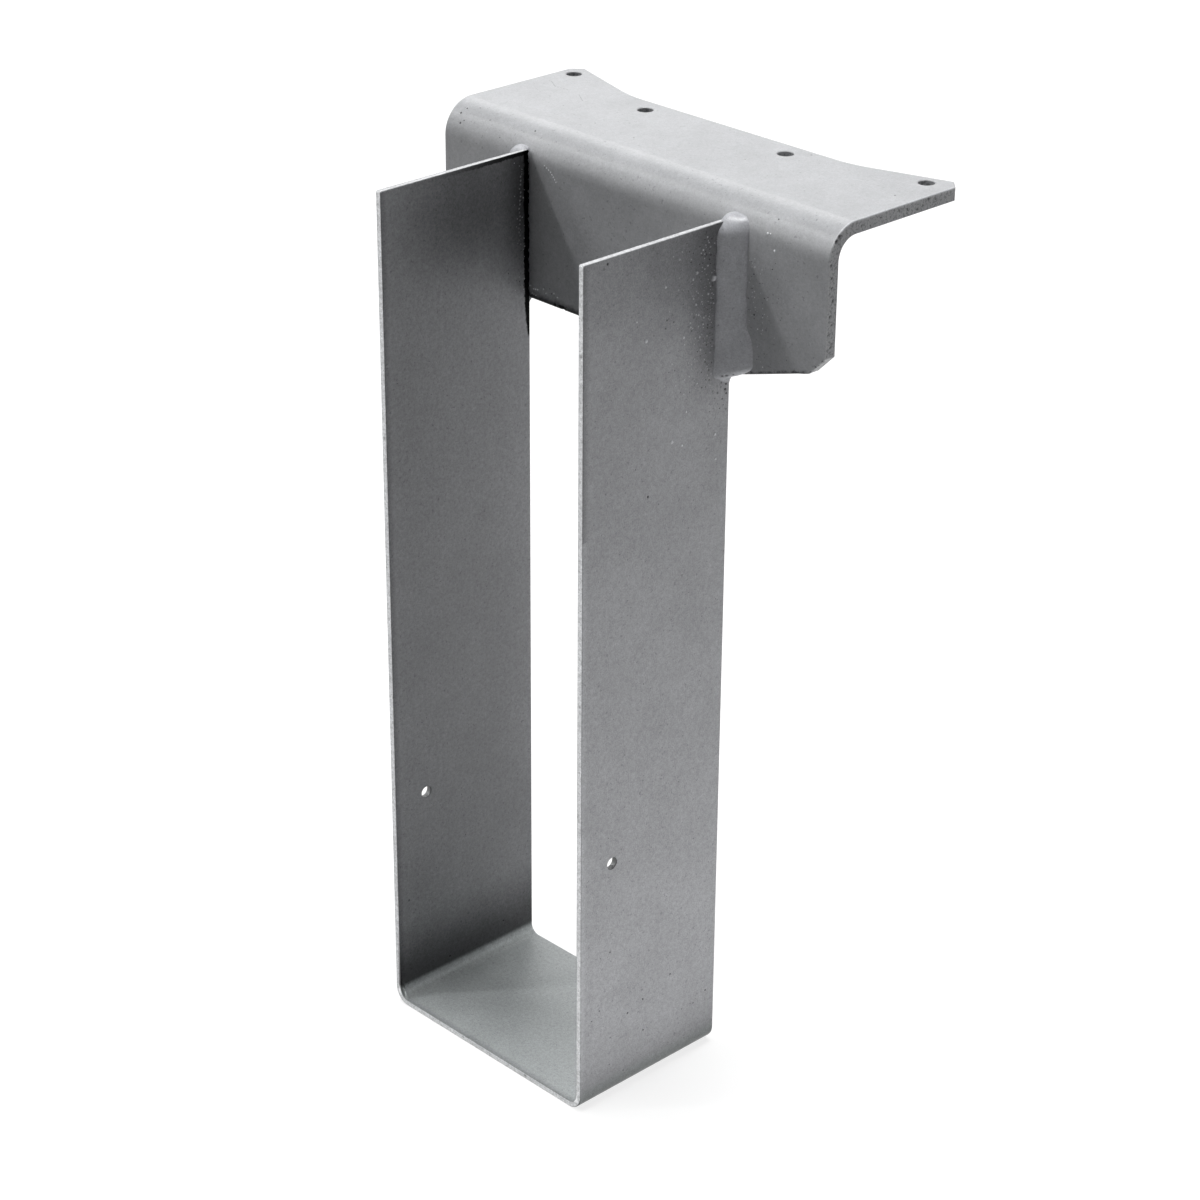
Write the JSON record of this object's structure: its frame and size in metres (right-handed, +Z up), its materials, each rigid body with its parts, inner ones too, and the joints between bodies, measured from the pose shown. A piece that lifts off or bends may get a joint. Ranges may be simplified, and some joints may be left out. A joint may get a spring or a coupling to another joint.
{
  "type": "purlin hanger",
  "caption": "Welded steel top-flange hanger: a folded nailing plate bears on the header and a U-shaped strip stirrup hangs from its face to carry the end of a purlin.",
  "frame": {"origin": "centre of the seat's top face, on which the purlin bears", "axes": "+X along the flange, +Y back towards the header, +Z up"},
  "size_m": [0.1746, 0.1247, 0.3084],
  "materials": {
    "flange_paint": "semi-gloss grey paint over sheared plate",
    "stirrup_paint": "semi-gloss grey paint over strip steel, with fine speckle",
    "weld_paint": "grey paint over a smooth fillet bead"
  },
  "bodies": {
    "root": {"top_flange": "flange_paint", "stirrup": "stirrup_paint", "weld_right": "weld_paint", "weld_left": "weld_paint"}
  },
  "joints": []
}
